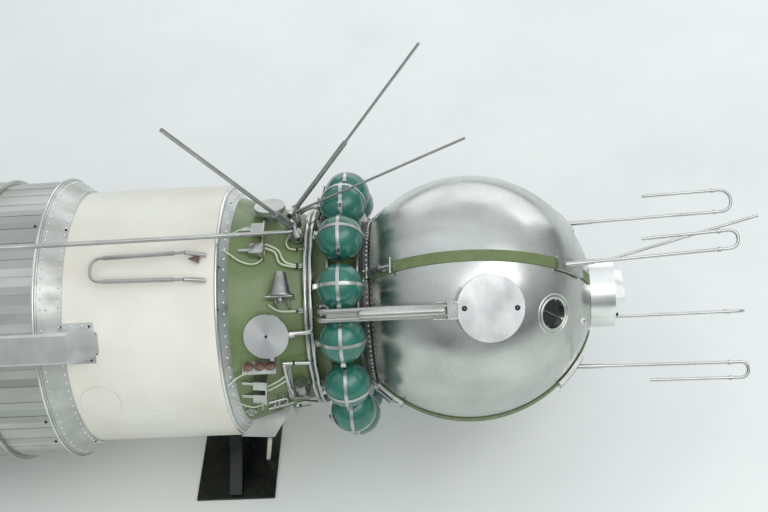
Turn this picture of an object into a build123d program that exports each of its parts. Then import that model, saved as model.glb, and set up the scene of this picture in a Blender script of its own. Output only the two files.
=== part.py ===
from build123d import *
import math
import os

# Museum scale model of a crewed satellite spacecraft on its last rocket stage, in millimetres.
# +X runs along the long axis towards the nose, +Z is up and Y goes across.
# The origin lies on the floor, below the joint of rocket stage and instrument module.
# The word around is an angle about the long axis: 0 on the -Y side, 90 on top.

# Fits
SEAT = 0.3            # gap under a piece that rests on a curved surface
PIN_GAP = 0.08        # radial gap between a hinge pin and its eye
EAR_GAP = 0.3         # side gap between a hinge eye and its ear
SINK = 14             # how far a foot is made too long before its seat trims it

# Stands
AXIS_H = 324          # long axis above the floor
BASE_L = 154          # base plate along the axis
BASE_W = 406          # across
BASE_T = 5
BOARD_T = 24          # upright board on the plate
# Its slope: out from the middle and above the floor, up to a peak that the body's round always trims
BOARD_SIDE = ((197, 0), (197, 8), (120, 52), (1.5, 257.4))
STANDS_X = (-41, -650)

# Rocket stage, from the rear towards the module
WALL = 3
AFT_L = 334           # ribbed skirt behind the step ring
AFT_R = 265
RIB_L = 109           # ribbed skin between step ring and rim
RIB_R = 259.5
SLATS = 50
SLAT_GAP = 1.4
SLAT_DEPTH = 1.2
STEP_L = 5
STEP_RISE = 2
RIM_L = 44            # riveted cone between ribbed skin and white section
RIM_LIP = 5           # rolled edge of that cone, above the ribs
RIM_LIP_W = 5
RIM_FOOT = 1.5
WHITE_L = 267
WHITE_R = 236
BULKHEAD_IN = 12      # rear bulkhead in from the skirt's edge
BULKHEAD_T = 4
DUCT_W = 54
DUCT_RISE = 9         # flat top of the duct cover above the ribbed skirt
DUCT_EDGE = 4         # bevel along its top
DUCT_AROUND = 33.6
DUCT_X = (-560, -250, -206)   # rear end, start of the front slope and its foot
DUCT_NOSE = 12        # bevel at the front corners
FLANGE_X = (-265, -213)
FLANGE_W = 72
FLANGE_T = 1.5
HAIRPIN_D = 5.5
HAIRPIN_RISE = 18     # its tube above the white section
HAIRPIN_BEND = 18
HAIRPIN_SLEEVE_D = 8
# Stations of the bend, the arms' sleeves, their ends and the ends of the feet
HAIRPIN_X = (-213, -190, -66, -48, -14)
HAIRPIN_AROUNDS = (58.3, 67.8)
HAIRPIN_SPLAY = 0.8   # degrees that each arm spreads on its way to its foot
COVER_R = 36.5
COVER_T = 1.2
COVER_X = -221
COVER_AROUND = 4.2

# Engine
NOZZLE_THROAT_R = 22
NOZZLE_EXIT_R = 62
NOZZLE_L = 78
NOZZLE_WALL = 2.5
STEER_R = 16
STEER_L = 40
STEER_WALL = 1.5
STEER_PCR = 190       # radius of the ring of steering nozzles
STEER_COUNT = 4

# Instrument module
RING_L = 18.5
RING_FRONT_R = 209.5
RING_RISE = 1
RING_DEPTH = 12
CONE_L = 126.5
CONE_FRONT_R = 170
NECK_R = 146
NECK_L = 100
PIPE_RING_R = 179
PIPE_RING_D = 9
PIPE_RING_PITCH = 9.6
CLIP_COUNT = 8
CLIP_W = 8
CLIP_T = 2
BOTTLE_R = 40.5
BOTTLE_GAP = 8        # least room between two strapped bottles; it sets how many there are
BOTTLE_RING_R = 207
BOTTLE_AHEAD = 70     # middle of the bottles ahead of the cone's front
CRADLE_OFFSET = 27
CRADLE_T = 3
STRAP_W = 6
STRAP_T = 0.9

# Equipment on the module's cone
DISC_T = 9
DISC_STEM_R = 14
# Columns: node, station, angle around, radius, height of the stem
DISCS = (("turned_disc", 82, 31.2, 39.5, 11), ("upper_disc", 83, 104, 28, 17))
BELL_X = 111
BELL_AROUND = 56
BELL_R = (19, 9.5)
BELL_L = 43
BELL_FLANGE_R = 24.5
BELL_RISE = 28
# Columns: node, station, angle around, heading, pitch between the two boxes
VALVES = (("valve_box", 66, 81.2, 0, 46), ("connector_boxes", 57, 0.5, -8, 34))
BOX_L = 22
BOX_W = 21
BOX_H = 16
BOX_FRAME_T = 2.5
BOX_FRAME_EDGE = 2.5  # how far the frame behind a box stands out around it
PLUG_L = 20
PLUG_D = 6.5
KNOB_X = 65
KNOB_AROUND = 16.5
KNOB_R = 9.5
KNOB_PITCH = 19.7
KNOB_PLATE_L = 60
KNOB_PLATE_W = 34
KNOB_PLATE_T = 4
KNOB_PLATE_RISE = 13
KNOB_TILT = 68        # how far the plate is turned up from the skin
KNOB_H = 5
CAN_X = 129
CAN_AROUND = -4
CAN_R = 12
CAN_L = 28
CAN_RISE = 17
CAN_FLANGE = 30       # square flange under it
FIN_AROUND = -42
FIN_T = 1.5
FIN_CORNERS = ((26, 195), (-5.5, 239.5), (57, 243.5), (90, 193), (90, 180))

# Descent sphere
SPHERE_D = 460
SPHERE_WALL = 3
SEAT_RING_R = 153
SEAT_RING_L = 14
SEAT_LIP = 2.58723    # width of the ring's front face that stays outside the sphere
PORT_FORWARD = 40     # degrees from the side towards the nose
PORT_AROUND = 34
PORT_R = 27
PORT_RIM_R = 36
PORT_RIM_RISE = 3
GLASS_T = 3
HATCH_FORWARD = 9.6
HATCH_AROUND = 40.5
HATCH_R = 58.5
HATCH_RISE = 4
BAND_W = 20
BAND_T = 1.6
BAND_FROM = 47        # degrees behind the sphere's side where a band starts
BAND_TO = 71          # degrees ahead of it where the band ends
BAND_AROUNDS = (63.5, 153.5, 243.5, 333.5)
BUCKLE_ANGLE = 14
BUCKLE_W = 14
BUCKLE_T = 6
PLATE_SPAN = (42, 59)
PLATE_W = 26
PLATE_T = 7

# Nose
NOSE_R = 64
NOSE_L = 45
NOSE_BOX_L = 20
NOSE_BOX_W = 76
NOSE_BOX_H = 46
NOSE_BOX_TAPER = 11
AERIAL_D = 6
AERIAL_SLEEVE_D = 8.5
AERIAL_SLEEVE_L = 45
AERIAL_COLLAR_D = 9
AERIAL_COLLAR_L = 5
AERIAL_COLLAR_BACK = 35   # from the bend's outer end back to the collars
# Columns: angle around, degrees of the root ahead of the sphere's side, splay, hook direction, its pitch,
# bend's end and tip of the hook ahead of the sphere's front
HOOKS = ((63.5, 47.630905, 2.9, 135, 31.5, 240, 76),
         (153.5, 54.228713, 1.8, 150, 43, 272, 107),
         (243.5, 49.670556, -1.1, 225, 34, 305, 127),
         (333.5, 54.022047, 0.7, 315, 28, 267, 91))
NOSE_ROD_AROUND = 130
NOSE_ROD_LEAN = 13.9
NOSE_ROD_L = 292

# Umbilical mast
MAST_AROUND = 40.6
MAST_TUBE_D = 9
MAST_PITCH = 15
MAST_BEND = 14
MAST_OVER = 12        # its tubes above the sphere
MAST_AHEAD = 35       # its root ahead of the cone's front
MAST_SHORT = 14.67604  # how far its tubes end short of the hatch's rear edge
MAST_ROOT_RISE = 30   # its bracket's height on the neck
MAST_FOOT_L = 16

# Whip aerials
BOSS_R = 12
EYE_LOW = 14.5        # a hinge axis above the cone is this much less than a bottle's radius
TANG_L = 8            # flat root of a whip, from the hinge axis to its round rod
EYE_R = 5.5
EYE_W = 5.4
EAR_T = 2.6
MID_EAR_T = 6
PIN_R = 2
# Columns: station, around, heading of the lean from +X
BOSSES = {"aft_boss": (131, 88, 200), "front_boss": (125, 103, -15)}
# Columns: boss, side of its middle ear, lean from upright, length, diameter, sleeve length, sleeve diameter
WHIPS = {
    "aft_whip": ("aft_boss", -1, 32, 338, 7.5, 42, 14),
    "long_whip": ("aft_boss", 1, 72.3, 504, 8, 0, 0),
    "sleeved_whip": ("front_boss", 1, 38.2, 418, 5, 175, 9),
    "thin_whip": ("front_boss", -1, 62.9, 371, 4.5, 0, 0),
}

# Stations along the axis
X_WHITE = -WHITE_L
X_RIM = X_WHITE - RIM_L
X_STEP = X_RIM - RIB_L
X_AFT = X_STEP - AFT_L
X_CONE = RING_L
X_NECK = X_CONE + CONE_L
X_SEAT = X_NECK + NECK_L
SPHERE_R = SPHERE_D / 2
SPHERE_X = X_SEAT + SEAT_RING_L + math.sqrt(SPHERE_R ** 2 - (SEAT_RING_R - SEAT_LIP) ** 2)
X_NOSE = SPHERE_X + math.sqrt(SPHERE_R ** 2 - NOSE_R ** 2)
BOTTLE_X = X_NECK + BOTTLE_AHEAD
DUCT_R = AFT_R + DUCT_RISE
HAIRPIN_R = WHITE_R + HAIRPIN_RISE
MAST_R = SPHERE_R + MAST_OVER
EYE_RISE = BOTTLE_R - EYE_LOW
FAR = 2000            # longer than any piece

os.makedirs("parts", exist_ok=True)


def keep(node, *solids):
    """Write one sub-part, lifted from the long axis to its height above the floor."""
    shape = solids[0] if len(solids) == 1 else Compound(list(solids))
    export_step(Pos(0, 0, AXIS_H) * shape, f"parts/{node}.step")


def revolved(*points):
    """Ring or shell about the long axis from its (x, radius) corners."""
    return revolve(make_face(Polyline(*[(x, 0, r) for x, r in points], close=True)), Axis.X, 360)


def barrel(radius):
    """Endless round bar on the long axis, for trimming."""
    return Rot(0, 90, 0) * Cylinder(radius, FAR)


def turned(around):
    """Turn about the long axis that brings +Z to an angle around it."""
    return Rot(90 - around, 0, 0)


def on_skin(x, radius, around, heading=0):
    """Place on the model's side: z points outwards, x along the axis turned by heading."""
    return turned(around) * Pos(x, 0, radius) * Rot(0, 0, heading)


def on_sphere(forward, around, radius):
    """Place on the descent sphere, some degrees forward of its side, z outwards."""
    return turned(around) * Pos(SPHERE_X, 0, 0) * Rot(0, forward, 0) * Pos(0, 0, radius)


def disc(radius, height, top=0):
    """Round plate that ends at a height on its own axis."""
    return Pos(0, 0, top - height / 2) * Cylinder(radius, height)


def block(x0, x1, width, z0, z1):
    """Box centred across, between two stations and two heights."""
    return Pos((x0 + x1) / 2, 0, (z0 + z1) / 2) * Box(x1 - x0, width, z1 - z0)


def bent_tube(points, diameter, bend):
    """Round tube along straight runs with equal bends."""
    path = FilletPolyline(*points, radius=bend)
    return sweep(Plane(origin=path @ 0, z_dir=path % 0) * Circle(diameter / 2), path)


# Stands: a thin base plate with an upright board on it that is cut out for the body
for node, middle, body_r in (("front_stand", STANDS_X[0], WHITE_R), ("rear_stand", STANDS_X[1], AFT_R)):
    plate = block(middle - BASE_L / 2, middle + BASE_L / 2, BASE_W, -AXIS_H, BASE_T - AXIS_H)
    slope = [(side * y, z - AXIS_H) for side in (1, -1) for y, z in BOARD_SIDE[::side]]
    side_view = Plane.YZ * make_face(Polyline(*slope, close=True))
    board = Pos(middle, 0, 0) * extrude(side_view, BOARD_T / 2, both=True)
    keep(node, plate + board - barrel(body_r + SEAT))


# Ribbed skins: rings of narrow flat planks with an open joint between neighbours
def planked_tube(radius, x0, length):
    outline = []
    plank = 2 * math.pi / SLATS
    joint = SLAT_GAP / radius
    for i in range(SLATS):
        start = i * plank
        for angle, r in ((start, radius), (start + plank - joint, radius),
                         (start + plank - joint, radius - SLAT_DEPTH), (start + plank, radius - SLAT_DEPTH)):
            outline.append((r * math.cos(angle), r * math.sin(angle)))
    section = make_face(Polyline(*outline, close=True)) - Circle(radius - WALL)
    return Pos(x0, 0, 0) * Rot(0, 90, 0) * extrude(section, length)


keep("aft_skirt", planked_tube(AFT_R, X_AFT, AFT_L))
keep("ribbed_skin", planked_tube(RIB_R, X_STEP, RIB_L))
keep("step_ring", revolved((X_STEP, RIB_R + SEAT), (X_STEP + STEP_L, RIB_R + SEAT),
                           (X_STEP + STEP_L, AFT_R + STEP_RISE), (X_STEP, AFT_R + STEP_RISE)))
rim_r = RIB_R + RIM_LIP
keep("stage_rim", revolved((X_RIM, RIB_R - WALL), (X_RIM, rim_r), (X_RIM + RIM_LIP_W, rim_r),
                           (X_RIM + RIM_LIP_W, rim_r - RIM_LIP / 2), (X_WHITE, WHITE_R + RIM_FOOT),
                           (X_WHITE, WHITE_R - WALL)))
keep("white_section", revolved((X_WHITE, WHITE_R - WALL), (X_WHITE, WHITE_R), (0, WHITE_R),
                               (0, WHITE_R - WALL)))
keep("rear_bulkhead", Pos(X_AFT + BULKHEAD_IN + BULKHEAD_T / 2, 0, 0) * Rot(0, 90, 0)
     * Cylinder(AFT_R - WALL - SEAT, BULKHEAD_T))

# Duct cover: a pressed channel along the stage, over the rim and onto the white section
stage_outside = revolved((X_AFT, 0), (X_AFT, AFT_R + SEAT), (X_STEP, AFT_R + SEAT),
                         (X_STEP, AFT_R + STEP_RISE + SEAT), (X_STEP + STEP_L, AFT_R + STEP_RISE + SEAT),
                         (X_STEP + STEP_L, RIB_R + SEAT), (X_RIM, RIB_R + SEAT),
                         (X_RIM - SEAT, RIB_R + SEAT), (X_RIM - SEAT, rim_r + SEAT),
                         (X_RIM + RIM_LIP_W + SEAT, rim_r + SEAT),
                         (X_RIM + RIM_LIP_W + SEAT, rim_r - RIM_LIP / 2 + SEAT),
                         (X_WHITE + SEAT, WHITE_R + RIM_FOOT + SEAT), (X_WHITE + SEAT, WHITE_R + SEAT),
                         (0, WHITE_R + SEAT), (0, 0))
duct_x0, duct_x1, duct_x2 = DUCT_X
duct_foot = WHITE_R - SINK
half = DUCT_W / 2
duct_section = [(-half, duct_foot), (-half, DUCT_R - DUCT_EDGE), (-half + DUCT_EDGE, DUCT_R),
                (half - DUCT_EDGE, DUCT_R), (half, DUCT_R - DUCT_EDGE), (half, duct_foot)]
duct_side = make_face(Polyline((duct_x0, 0, duct_foot), (duct_x0, 0, DUCT_R), (duct_x1, 0, DUCT_R),
                               (duct_x2, 0, WHITE_R), (duct_x2, 0, duct_foot), close=True))
duct_plan = make_face(Polyline((duct_x0, half), (duct_x2 - DUCT_NOSE, half), (duct_x2, half - DUCT_NOSE),
                               (duct_x2, DUCT_NOSE - half), (duct_x2 - DUCT_NOSE, -half), (duct_x0, -half),
                               close=True))
duct_face = Plane.YZ * make_face(Polyline(*duct_section, close=True))
duct = Pos(duct_x0, 0, 0) * extrude(duct_face, duct_x2 - duct_x0)
duct = duct & extrude(duct_side, FLANGE_W, both=True) & extrude(duct_plan, 2 * DUCT_R)
flange = block(*FLANGE_X, FLANGE_W, duct_foot, DUCT_R) & barrel(WHITE_R + SEAT + FLANGE_T)
keep("stage_duct", turned(DUCT_AROUND) * (duct + flange) - stage_outside)

# Hairpin tube aerial and round access cover on the white section
def skin_point(x, radius, around):
    a = math.radians(around)
    return Vector(x, -radius * math.cos(a), radius * math.sin(a))


def bar(start, end, diameter):
    """Straight round bar between two points."""
    line = Line(start, end)
    return sweep(Plane(origin=line @ 0, z_dir=line % 0) * Circle(diameter / 2), line)


near, far = HAIRPIN_AROUNDS
bend_x, sleeve_x0, sleeve_x1, foot_x0, foot_x1 = HAIRPIN_X
arm_arounds = (near - HAIRPIN_SPLAY, far + HAIRPIN_SPLAY)
arm_ends = [skin_point(foot_x0, HAIRPIN_R, around) for around in arm_arounds]
arm_bends = [skin_point(bend_x, HAIRPIN_R, near), skin_point(bend_x, HAIRPIN_R, far)]
hairpin = bent_tube([arm_ends[0], arm_bends[0], arm_bends[1], arm_ends[1]], HAIRPIN_D, HAIRPIN_BEND)
for start, end, around in zip(arm_bends, arm_ends, arm_arounds):
    run = (end - start) / (foot_x0 - bend_x)
    hairpin += bar(start + run * (sleeve_x0 - bend_x), start + run * (sleeve_x1 - bend_x), HAIRPIN_SLEEVE_D)
    hairpin += bar(end, skin_point(foot_x1, WHITE_R + HAIRPIN_D / 2, around), HAIRPIN_SLEEVE_D)
keep("hairpin_aerial", hairpin - barrel(WHITE_R + SEAT))
cover = on_skin(COVER_X, WHITE_R, COVER_AROUND) * disc(COVER_R, 2 * SINK, SINK)
keep("access_cover", (cover & barrel(WHITE_R + SEAT + COVER_T)) - barrel(WHITE_R + SEAT))


# Engine: a bell nozzle in the middle and four small steering nozzles around it
def bell(throat_r, exit_r, length, wall):
    x1 = X_AFT + BULKHEAD_IN
    x0 = x1 - length
    mid_x = x1 - 0.4 * length
    mid_r = throat_r + 0.6 * (exit_r - throat_r)
    outer = ThreePointArc((x1, 0, throat_r), (mid_x, 0, mid_r), (x0, 0, exit_r))
    inner = ThreePointArc((x0, 0, exit_r - wall), (mid_x, 0, mid_r - wall), (x1 - wall, 0, throat_r - wall))
    lip = Line((x0, 0, exit_r), (x0, 0, exit_r - wall))
    crown = Polyline((x1 - wall, 0, throat_r - wall), (x1 - wall, 0, 0), (x1, 0, 0), (x1, 0, throat_r))
    return revolve(make_face([outer, lip, inner, crown]), Axis.X, 360)


keep("main_nozzle", bell(NOZZLE_THROAT_R, NOZZLE_EXIT_R, NOZZLE_L, NOZZLE_WALL))
steering = Pos(0, 0, STEER_PCR) * bell(STEER_R * 0.4, STEER_R, STEER_L, STEER_WALL)
keep("steering_nozzles", *[turned(45 + i * 360 / STEER_COUNT) * steering for i in range(STEER_COUNT)])

# Instrument module: riveted ring, cone and neck as thin shells
keep("module_ring", revolved((0, WHITE_R - RING_DEPTH), (0, WHITE_R), (X_CONE, RING_FRONT_R + RING_RISE),
                             (X_CONE, RING_FRONT_R - RING_DEPTH)))
keep("instrument_cone", revolved((X_CONE, RING_FRONT_R - WALL), (X_CONE, RING_FRONT_R),
                                 (X_NECK, CONE_FRONT_R), (X_NECK, NECK_R - WALL),
                                 (X_NECK - WALL, NECK_R - WALL), (X_NECK - WALL, CONE_FRONT_R - WALL)))
keep("bottle_neck", revolved((X_NECK, NECK_R - WALL), (X_NECK, NECK_R), (X_SEAT, NECK_R),
                             (X_SEAT, NECK_R - WALL)))
module_outside = revolved((X_WHITE, 0), (X_WHITE, WHITE_R + SEAT), (0, WHITE_R + SEAT),
                          (X_CONE, RING_FRONT_R + RING_RISE + SEAT), (X_CONE, RING_FRONT_R + SEAT),
                          (X_NECK, CONE_FRONT_R + SEAT), (X_NECK, 0))


def cone_radius(x):
    """Outer radius of the module's cone at a station."""
    return RING_FRONT_R + (CONE_FRONT_R - RING_FRONT_R) * (x - X_CONE) / CONE_L


# Twin pipe ring around the front edge of the cone, held by small clips
pipe_x = (X_NECK + PIPE_RING_D / 2, X_NECK + PIPE_RING_D / 2 + PIPE_RING_PITCH)
keep("pipe_ring", *[Pos(x, 0, 0) * Rot(0, 90, 0) * Torus(PIPE_RING_R, PIPE_RING_D / 2) for x in pipe_x])
clip_top = PIPE_RING_R - PIPE_RING_D / 2 - SEAT
clip = block(X_NECK, pipe_x[1] + PIPE_RING_D / 2, CLIP_W, NECK_R + SEAT, clip_top)
keep("pipe_clips", *[turned(MAST_AROUND + (i + 0.5) * 360 / CLIP_COUNT) * clip for i in range(CLIP_COUNT)])

# Gas bottles between two flange rings, each under a pair of crossed straps
strap_r = BOTTLE_R + SEAT + STRAP_T
bottle_count = int(math.pi / math.asin((strap_r + BOTTLE_GAP / 2) / BOTTLE_RING_R))
bottle_arounds = [MAST_AROUND + (i + 0.5) * 360 / bottle_count for i in range(bottle_count)]
bottle_places = [on_skin(BOTTLE_X, BOTTLE_RING_R, a) for a in bottle_arounds]
keep("gas_bottles", *[place * Sphere(BOTTLE_R) for place in bottle_places])
strap = Cylinder(strap_r, STRAP_W) - Cylinder(BOTTLE_R + SEAT, STRAP_W)
crossed = Rot(90, 0, 0) * strap + Rot(0, 90, 0) * strap
keep("bottle_straps", *[place * crossed for place in bottle_places])
cradle_r = BOTTLE_RING_R - math.sqrt((strap_r + SEAT) ** 2 - (CRADLE_OFFSET - CRADLE_T / 2) ** 2)
keep("bottle_cradles", *[revolved((x - CRADLE_T / 2, NECK_R + SEAT), (x - CRADLE_T / 2, cradle_r),
                                  (x + CRADLE_T / 2, cradle_r), (x + CRADLE_T / 2, NECK_R + SEAT))
                         for x in (BOTTLE_X - CRADLE_OFFSET, BOTTLE_X + CRADLE_OFFSET)])

# Lathe-turned discs on stems, standing off the cone
for node, x, around, radius, rise in DISCS:
    shape = disc(radius, DISC_T, rise + DISC_T) + disc(DISC_STEM_R, rise + SINK, rise)
    keep(node, on_skin(x, cone_radius(x), around) * shape - module_outside)

# Bell-shaped sensor lying across the cone on its foot, narrow end towards the top
bell_axis = Pos(0, 0, BELL_RISE) * Rot(-90, 0, 0)
bell_body = Cone(*BELL_R, BELL_L) + Pos(0, 0, -BELL_L / 2) * Cylinder(BELL_FLANGE_R, 3)
bell_shape = bell_axis * bell_body + block(-5, 5, 16, -SINK, BELL_RISE)
keep("bell_sensor", on_skin(BELL_X, cone_radius(BELL_X), BELL_AROUND) * bell_shape - module_outside)

# Valve boxes in pairs, each with a round plug towards the stage, on one frame behind them
plug = Pos(-(BOX_L + PLUG_L) / 2, 0, BOX_H / 2 + 2) * Rot(0, 90, 0) * Cylinder(PLUG_D / 2, PLUG_L)
valve = block(-BOX_L / 2, BOX_L / 2, BOX_W, -SINK, BOX_H) + plug
for node, x, around, heading, pitch in VALVES:
    back = block(BOX_L / 2, BOX_L / 2 + BOX_FRAME_T, pitch + BOX_W + 2 * BOX_FRAME_EDGE, -SINK,
                 BOX_H + BOX_FRAME_EDGE)
    pair = back + Pos(0, pitch / 2, 0) * valve + Pos(0, -pitch / 2, 0) * valve
    keep(node, on_skin(x, cone_radius(x), around, heading) * pair - module_outside)

# Shelf with three round knobs, turned up from the skin, on two ribs
shelf = on_skin(KNOB_X, cone_radius(KNOB_X), KNOB_AROUND)
shelf *= Pos(0, 0, KNOB_PLATE_RISE) * Rot(-KNOB_TILT, 0, 0)
plate = block(-KNOB_PLATE_L / 2, KNOB_PLATE_L / 2, KNOB_PLATE_W, -KNOB_PLATE_T, 0)
for x in (-KNOB_PITCH, KNOB_PITCH):
    plate += Pos(0, KNOB_PLATE_W / 4, 0) * block(x - 2, x + 2, KNOB_PLATE_W / 2, -2 * SINK, -KNOB_PLATE_T)
keep("knob_panel", shelf * plate - module_outside)
knob = disc(KNOB_R, KNOB_H, KNOB_H + SEAT)
keep("panel_knobs", *[shelf * Pos(i * KNOB_PITCH, -3, 0) * knob for i in (-1, 0, 1)])

# Round can on its bracket beside the pipe ring
can = Pos(0, 0, CAN_RISE) * Rot(-90, 0, 0) * Cylinder(CAN_R, CAN_L)
can += Pos(0, 3 - CAN_L / 2, CAN_RISE) * Box(CAN_FLANGE, 3, CAN_FLANGE)
can += Pos(0, -3 - CAN_L / 2, CAN_RISE) * Rot(-90, 0, 0) * Cylinder(CAN_R * 0.75, 6)
can += block(-4, 4, CAN_L * 0.6, -SINK, CAN_RISE)
keep("side_can", on_skin(CAN_X, cone_radius(CAN_X), CAN_AROUND) * can - module_outside)

# Sheet fin under the module
fin_face = make_face(Polyline(*[(x, 0, r) for x, r in FIN_CORNERS], close=True))
keep("sheet_fin", turned(FIN_AROUND) * extrude(fin_face, FIN_T / 2, both=True) - module_outside)

# Descent sphere: a hollow ball on its seat ring, with the porthole cut through
sphere_blank = Pos(SPHERE_X, 0, 0) * Sphere(SPHERE_R + SEAT)
seat_ring = revolved((X_SEAT, NECK_R - WALL), (X_SEAT, SEAT_RING_R), (X_SEAT + SEAT_RING_L, SEAT_RING_R),
                     (X_SEAT + SEAT_RING_L, NECK_R - WALL))
keep("seat_ring", seat_ring - sphere_blank)
port = on_sphere(PORT_FORWARD, PORT_AROUND, SPHERE_R)
ball = Pos(SPHERE_X, 0, 0) * (Sphere(SPHERE_R) - Sphere(SPHERE_R - SPHERE_WALL))
keep("descent_sphere", ball - port * Cylinder(PORT_R, 6 * SPHERE_WALL))
keep("porthole_glass", port * disc(PORT_R - SEAT, GLASS_T, -SPHERE_WALL))
rim = port * (disc(PORT_RIM_R, SINK, PORT_RIM_RISE) - disc(PORT_R, SINK, PORT_RIM_RISE))
keep("porthole_rim", rim - sphere_blank)

# Round hatch plate that the mast runs to
hatch_place = on_sphere(HATCH_FORWARD, HATCH_AROUND, SPHERE_R)
keep("hatch_plate", hatch_place * disc(HATCH_R, SINK, HATCH_RISE) - sphere_blank)
hatch_blank = hatch_place * disc(HATCH_R + SEAT, 2 * SINK, HATCH_RISE + SEAT)


# Tension bands from the seat ring over the sphere, each with a buckle behind and a plate ahead
def sphere_strip(radius, thickness, width, start, end):
    """Strip bent along the sphere, between two angles forward of its side."""
    corners = []
    for r in (radius, radius + thickness):
        for angle in (start, (start + end) / 2, end):
            a = math.radians(angle)
            corners.append((SPHERE_X + r * math.sin(a), 0, r * math.cos(a)))
    under = ThreePointArc(*corners[:3])
    over = ThreePointArc(*corners[3:])
    face = make_face([under, Line(corners[2], corners[5]), over, Line(corners[3], corners[0])])
    return extrude(face, width / 2, both=True)


band_r = SPHERE_R + SEAT
plate_r = band_r + BAND_T + SEAT
band = sphere_strip(band_r, BAND_T, BAND_W, -BAND_FROM, BAND_TO)
keep("tension_bands", *[turned(a) * band for a in BAND_AROUNDS])
buckle = sphere_strip(plate_r, BUCKLE_T, BUCKLE_W, -BAND_FROM, -BAND_FROM + BUCKLE_ANGLE)
keep("band_buckles", *[turned(a) * buckle for a in BAND_AROUNDS])
plate = sphere_strip(plate_r, PLATE_T, PLATE_W, *PLATE_SPAN)
keep("band_plates", *[turned(a) * plate for a in BAND_AROUNDS])

# Nose: turned drum with a box on its face
drum = Pos(X_NOSE + NOSE_L / 2 - SINK / 2, 0, 0) * Rot(0, 90, 0) * Cylinder(NOSE_R, NOSE_L + SINK)
keep("nose_drum", drum - sphere_blank)
nose_face = Plane.YZ * Rectangle(NOSE_BOX_W, NOSE_BOX_H)
keep("nose_box", Pos(X_NOSE + NOSE_L, 0, 0) * extrude(nose_face, NOSE_BOX_L, taper=NOSE_BOX_TAPER))

# Four hooked aerials ahead of the band plates, sleeved at the root and collared before the bend
hooks = []
foot_r = plate_r + PLATE_T + SEAT
foot_blank = Pos(SPHERE_X, 0, 0) * Sphere(foot_r)
for around, ahead, splay, toward, pitch, bend_end, tip in HOOKS:
    a, t = math.radians(around), math.radians(toward)
    up = Vector(0, -math.cos(t), math.sin(t))
    x = Vector(1, 0, 0) + up * math.tan(math.radians(splay))
    root_r = foot_r * math.cos(math.radians(ahead))
    root_x = SPHERE_X + foot_r * math.sin(math.radians(ahead))
    root = Vector(root_x, -math.cos(a) * root_r, math.sin(a) * root_r)
    front_l = SPHERE_X + SPHERE_R - root_x
    bend_l = front_l + bend_end
    collar_l = bend_l - AERIAL_COLLAR_BACK
    hook = bent_tube([root - x * SINK, root + x * bend_l, root + x * bend_l + up * pitch,
                      root + x * (front_l + tip) + up * pitch], AERIAL_D, pitch * 0.46)
    hook += bar(root - x * SINK, root + x * AERIAL_SLEEVE_L, AERIAL_SLEEVE_D)
    for side in (0, pitch):
        collar = root + x * collar_l + up * side
        hook += bar(collar, collar + x * AERIAL_COLLAR_L, AERIAL_COLLAR_D)
    hooks.append(hook - foot_blank)
keep("hook_aerials", *hooks)
rod = (turned(NOSE_ROD_AROUND) * Pos(X_NOSE + NOSE_L - 12, 0, NOSE_R - 6) * Rot(0, 90 - NOSE_ROD_LEAN, 0)
       * Pos(0, 0, NOSE_ROD_L / 2) * Cylinder(AERIAL_D / 2, NOSE_ROD_L))
keep("nose_rod", rod - Pos(X_NOSE, 0, 0) * Rot(0, 90, 0) * Cylinder(NOSE_R + SEAT, 2 * NOSE_L))

# Umbilical mast: two tubes from a bracket on the neck, over the bottles, to a foot on the sphere
mast_x0 = X_NECK + MAST_AHEAD
hatch_turn = math.radians(HATCH_FORWARD)
mast_x1 = SPHERE_X + SPHERE_R * math.sin(hatch_turn) - HATCH_R * math.cos(hatch_turn) - MAST_SHORT
mast_root_r = NECK_R + MAST_ROOT_RISE
tubes = [turned(MAST_AROUND) * bent_tube([(mast_x0, side * MAST_PITCH / 2, mast_root_r),
                                          (mast_x0, side * MAST_PITCH / 2, MAST_R),
                                          (mast_x1, side * MAST_PITCH / 2, MAST_R)], MAST_TUBE_D, MAST_BEND)
         for side in (-1, 1)]
web = block(mast_x0 + MAST_BEND, mast_x1, MAST_PITCH, MAST_R - 1.5, MAST_R + 1.5)
keep("umbilical_mast", tubes[0] + tubes[1] + turned(MAST_AROUND) * web)
mast_w = MAST_PITCH + MAST_TUBE_D
bracket = block(mast_x0 - 6, mast_x0 + 6, mast_w + 4, NECK_R - SINK, mast_root_r)
keep("mast_bracket", turned(MAST_AROUND) * bracket - barrel(NECK_R + SEAT))
foot = turned(MAST_AROUND) * block(mast_x1, mast_x1 + MAST_FOOT_L, mast_w + 4, SPHERE_R - SINK, MAST_R + 6)
keep("mast_foot", foot - sphere_blank - hatch_blank)

# Whip aerials: each turns on a pin between the ears of a boss that stands on the cone
eye_y = MID_EAR_T / 2 + EAR_GAP + EYE_W / 2
outer_y = eye_y + EYE_W / 2 + EAR_GAP + EAR_T / 2
ear_foot = -EYE_R - 1.5
boss_places = {}
bosses = []
for name, (x, around, heading) in BOSSES.items():
    place = on_skin(x, cone_radius(x) + EYE_RISE, around, heading)
    boss_places[name] = place
    shape = disc(BOSS_R, EYE_RISE + SINK, ear_foot)
    for y, thick in ((-outer_y, EAR_T), (0, MID_EAR_T), (outer_y, EAR_T)):
        shape += Pos(0, y, 0) * (Rot(90, 0, 0) * Cylinder(EYE_R, thick)
                                 + Pos(0, 0, ear_foot / 2) * Box(2 * EYE_R, thick, -ear_foot))
    shape += Rot(90, 0, 0) * Cylinder(PIN_R, 2 * outer_y + EAR_T)
    bosses.append(place * shape - module_outside)
keep("whip_bosses", *bosses)
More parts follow.
